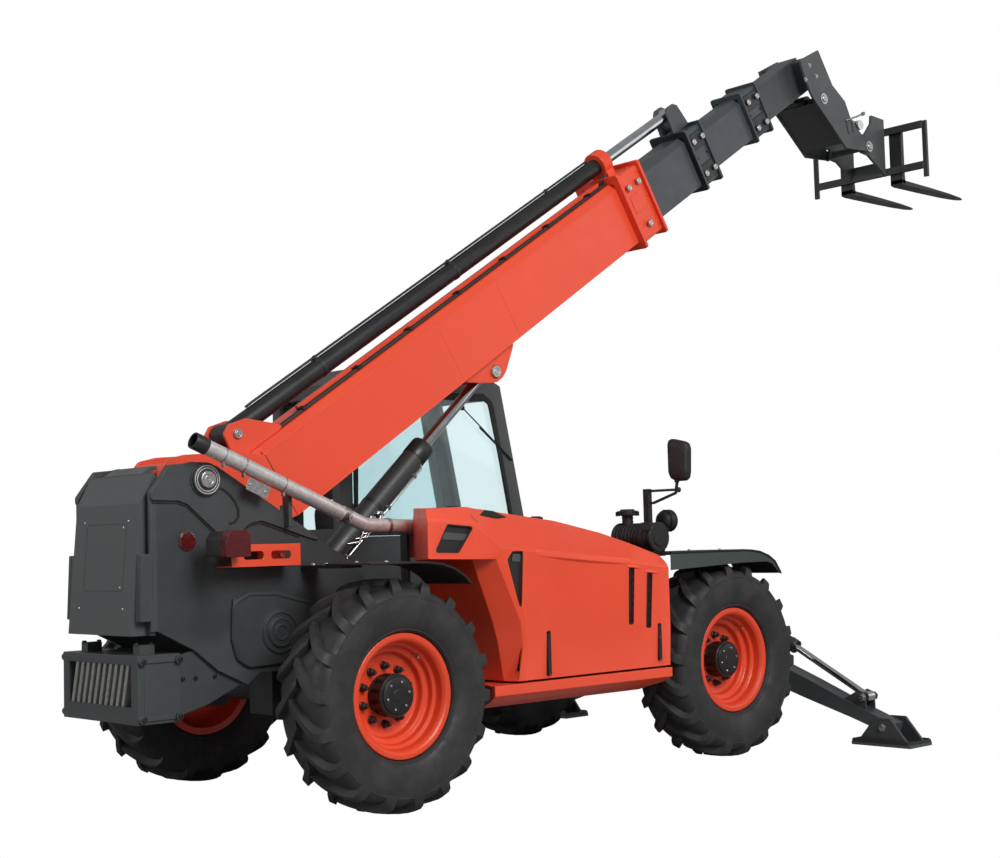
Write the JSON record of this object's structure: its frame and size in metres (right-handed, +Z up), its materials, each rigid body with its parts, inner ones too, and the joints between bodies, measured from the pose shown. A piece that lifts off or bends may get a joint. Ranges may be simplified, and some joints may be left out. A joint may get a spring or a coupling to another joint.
{
  "type": "telehandler",
  "caption": "Telescopic handler with a four-section boom raised over a four-wheel chassis, pallet forks, side cab, engine pod and front stabilizers.",
  "frame": {"origin": "on the ground, at the middle of the whole length and width as it stands", "axes": "+X forward towards the forks, +Y to the vehicle's left (cab side), +Z up"},
  "size_m": [8.525, 3.662, 5.4068],
  "materials": {
    "orange_paint": "gloss enamel",
    "grey_paint": "satin enamel",
    "black_paint": "satin enamel",
    "chrome": "polished hard chrome",
    "dull_steel": "oxidised steel",
    "tyre_rubber": "moulded rubber",
    "clear_glass": "clear, faint green",
    "red_lens": "moulded lens",
    "black_plastic": "grained plastic"
  },
  "bodies": {
    "chassis": {"chassis_frame": "grey_paint", "counterweight": "grey_paint", "rear_grille": "grey_paint", "front_axle": "grey_paint", "rear_axle": "grey_paint", "mudguards": "black_plastic", "engine_block": "black_paint", "pod_frame": "orange_paint", "exhaust_pipe": "dull_steel", "air_cleaner": "black_plastic", "mirror": "black_paint", "work_lamp": "black_plastic", "lamp_brackets": "orange_paint", "tail_lamps": "red_lens", "cab_shell": "grey_paint", "cab_glass": "clear_glass", "operator_seat": "black_plastic", "steering_column": "black_plastic", "stabilizer_frame": "grey_paint"},
    "hood": {"engine_hood": "orange_paint"},
    "door": {"cab_door": "grey_paint", "cab_door_glass": "clear_glass"},
    "boom_outer": {"boom_outer": "orange_paint", "extension_barrel": "black_paint"},
    "boom_second": {"boom_section_2": "grey_paint", "extension_rod": "chrome"},
    "boom_third": {"boom_section_3": "grey_paint"},
    "boom_fourth": {"boom_section_4": "grey_paint"},
    "lift_cylinder_rod": {"lift_rod": "chrome"},
    "lift_cylinder_barrel": {"lift_barrel": "black_paint"},
    "tilt_cylinder_barrel": {"tilt_barrel": "black_paint"},
    "tilt_cylinder_rod": {"tilt_rod": "chrome"},
    "carriage": {"hitch": "grey_paint", "fork_frame": "black_paint", "forks": "black_paint"},
    "right_leg": {"right_stabilizer_leg": "grey_paint"},
    "right_foot": {"right_stabilizer_foot": "grey_paint"},
    "right_leg_barrel": {"right_stabilizer_barrel": "black_paint"},
    "right_leg_rod": {"right_stabilizer_rod": "chrome"},
    "left_leg": {"left_stabilizer_leg": "grey_paint"},
    "left_foot": {"left_stabilizer_foot": "grey_paint"},
    "left_leg_barrel": {"left_stabilizer_barrel": "black_paint"},
    "left_leg_rod": {"left_stabilizer_rod": "chrome"},
    "front_right_knuckle": {"front_right_knuckle": "grey_paint"},
    "front_right_wheel": {"front_right_rim": "orange_paint", "front_right_tyre": "tyre_rubber"},
    "front_left_knuckle": {"front_left_knuckle": "grey_paint"},
    "front_left_wheel": {"front_left_rim": "orange_paint", "front_left_tyre": "tyre_rubber"},
    "rear_right_knuckle": {"rear_right_knuckle": "grey_paint"},
    "rear_right_wheel": {"rear_right_rim": "orange_paint", "rear_right_tyre": "tyre_rubber"},
    "rear_left_knuckle": {"rear_left_knuckle": "grey_paint"},
    "rear_left_wheel": {"rear_left_rim": "orange_paint", "rear_left_tyre": "tyre_rubber"}
  },
  "joints": [
    {"name": "boom_lift", "type": "hinge", "parent": "chassis", "child": "boom_outer", "pos_m": [-3.825, 0, 1.822], "axis": [0, -1, 0], "range_deg": [-35.5, 37.5]},
    {"name": "section_2_slide", "type": "slide", "parent": "boom_outer", "child": "boom_second", "axis": [0.8434, 0, 0.5373], "range_m": [-0.6, 2.4]},
    {"name": "section_3_slide", "type": "slide", "parent": "boom_second", "child": "boom_third", "axis": [0.8434, 0, 0.5373], "range_m": [-0.6, 2.4]},
    {"name": "section_4_slide", "type": "slide", "parent": "boom_third", "child": "boom_fourth", "axis": [0.8434, 0, 0.5373], "range_m": [-0.6, 2.4]},
    {"name": "lift_cylinder_swing", "type": "hinge", "parent": "boom_outer", "child": "lift_cylinder_rod", "pos_m": [-1.382, 0, 2.567], "axis": [0, -1, 0], "range_deg": [-3, 3]},
    {"name": "lift_cylinder_stroke", "type": "slide", "parent": "lift_cylinder_rod", "child": "lift_cylinder_barrel", "axis": [-0.7386, 0, -0.6741], "range_m": [-0.63, 0.67]},
    {"name": "carriage_tilt", "type": "hinge", "parent": "boom_fourth", "child": "carriage", "pos_m": [2.924, 0, 4.704], "axis": [0, -1, 0], "range_deg": [-60, 42]},
    {"name": "tilt_cylinder_swing", "type": "hinge", "parent": "boom_fourth", "child": "tilt_cylinder_barrel", "pos_m": [2.3, 0, 5.01], "axis": [0, -1, 0], "range_deg": [-12, 9]},
    {"name": "tilt_cylinder_stroke", "type": "slide", "parent": "tilt_cylinder_barrel", "child": "tilt_cylinder_rod", "axis": [0.9976, 0, -0.0699], "range_m": [-0.16, 0.23]},
    {"name": "right_leg_swing", "type": "hinge", "parent": "chassis", "child": "right_leg", "pos_m": [0.795, -0.5, 0.52], "axis": [-1, 0, 0], "range_deg": [-13, 60]},
    {"name": "right_foot_swivel", "type": "hinge", "parent": "right_leg", "child": "right_foot", "pos_m": [0.795, -1.601, 0.13], "axis": [-1, 0, 0], "range_deg": [-15, 15]},
    {"name": "right_leg_barrel_swing", "type": "hinge", "parent": "chassis", "child": "right_leg_barrel", "pos_m": [0.795, -0.3, 0.93], "axis": [-1, 0, 0], "range_deg": [-11, 48]},
    {"name": "right_leg_rod_stroke", "type": "slide", "parent": "right_leg_barrel", "child": "right_leg_rod", "axis": [0, -0.8793, -0.4762], "range_m": [-0.39, 0.09]},
    {"name": "left_leg_swing", "type": "hinge", "parent": "chassis", "child": "left_leg", "pos_m": [0.795, 0.5, 0.52], "axis": [1, 0, 0], "range_deg": [-13, 60]},
    {"name": "left_foot_swivel", "type": "hinge", "parent": "left_leg", "child": "left_foot", "pos_m": [0.795, 1.601, 0.13], "axis": [1, 0, 0], "range_deg": [-15, 15]},
    {"name": "left_leg_barrel_swing", "type": "hinge", "parent": "chassis", "child": "left_leg_barrel", "pos_m": [0.795, 0.3, 0.93], "axis": [1, 0, 0], "range_deg": [-11, 48]},
    {"name": "left_leg_rod_stroke", "type": "slide", "parent": "left_leg_barrel", "child": "left_leg_rod", "axis": [0, 0.8793, -0.4762], "range_m": [-0.39, 0.09]},
    {"name": "cab_door_swing", "type": "hinge", "parent": "chassis", "child": "door", "pos_m": [-2.137, 1.155, 1.58], "axis": [0, 0, 1], "range_deg": [0, 85]},
    {"name": "engine_hood_lift", "type": "hinge", "parent": "chassis", "child": "hood", "pos_m": [-1.95, -0.56, 1.655], "axis": [-1, 0, 0], "range_deg": [0, 60]},
    {"name": "front_right_steer", "type": "hinge", "parent": "chassis", "child": "front_right_knuckle", "pos_m": [-0.255, -0.79, 0.631], "axis": [0, 0, 1], "range_deg": [-35, 35]},
    {"name": "front_right_spin", "type": "hinge", "parent": "front_right_knuckle", "child": "front_right_wheel", "pos_m": [-0.255, -0.975, 0.631], "axis": [0, 1, 0], "continuous": true},
    {"name": "front_left_steer", "type": "hinge", "parent": "chassis", "child": "front_left_knuckle", "pos_m": [-0.255, 0.79, 0.631], "axis": [0, 0, 1], "range_deg": [-35, 35]},
    {"name": "front_left_spin", "type": "hinge", "parent": "front_left_knuckle", "child": "front_left_wheel", "pos_m": [-0.255, 0.975, 0.631], "axis": [0, 1, 0], "continuous": true},
    {"name": "rear_right_steer", "type": "hinge", "parent": "chassis", "child": "rear_right_knuckle", "pos_m": [-3.055, -0.79, 0.631], "axis": [0, 0, 1], "range_deg": [-35, 35]},
    {"name": "rear_right_spin", "type": "hinge", "parent": "rear_right_knuckle", "child": "rear_right_wheel", "pos_m": [-3.055, -0.975, 0.631], "axis": [0, 1, 0], "continuous": true},
    {"name": "rear_left_steer", "type": "hinge", "parent": "chassis", "child": "rear_left_knuckle", "pos_m": [-3.055, 0.79, 0.631], "axis": [0, 0, 1], "range_deg": [-35, 35]},
    {"name": "rear_left_spin", "type": "hinge", "parent": "rear_left_knuckle", "child": "rear_left_wheel", "pos_m": [-3.055, 0.975, 0.631], "axis": [0, 1, 0], "continuous": true}
  ],
  "couplings": [
    {"joint": "section_3_slide", "follows": "section_2_slide", "ratio": 1},
    {"joint": "section_4_slide", "follows": "section_2_slide", "ratio": 1},
    {"joint": "lift_cylinder_swing", "follows": "boom_lift", "ratio": 0.05},
    {"joint": "lift_cylinder_stroke", "follows": "boom_lift", "m_per_rad": 1},
    {"joint": "tilt_cylinder_swing", "follows": "carriage_tilt", "ratio": 0.17},
    {"joint": "tilt_cylinder_stroke", "follows": "carriage_tilt", "m_per_rad": -0.21},
    {"joint": "right_leg_barrel_swing", "follows": "right_leg_swing", "ratio": 0.77},
    {"joint": "right_leg_rod_stroke", "follows": "right_leg_swing", "m_per_rad": -0.36},
    {"joint": "left_leg_barrel_swing", "follows": "left_leg_swing", "ratio": 0.77},
    {"joint": "left_leg_rod_stroke", "follows": "left_leg_swing", "m_per_rad": -0.36},
    {"joint": "front_left_steer", "follows": "front_right_steer", "ratio": 1},
    {"joint": "rear_left_steer", "follows": "rear_right_steer", "ratio": 1}
  ]
}
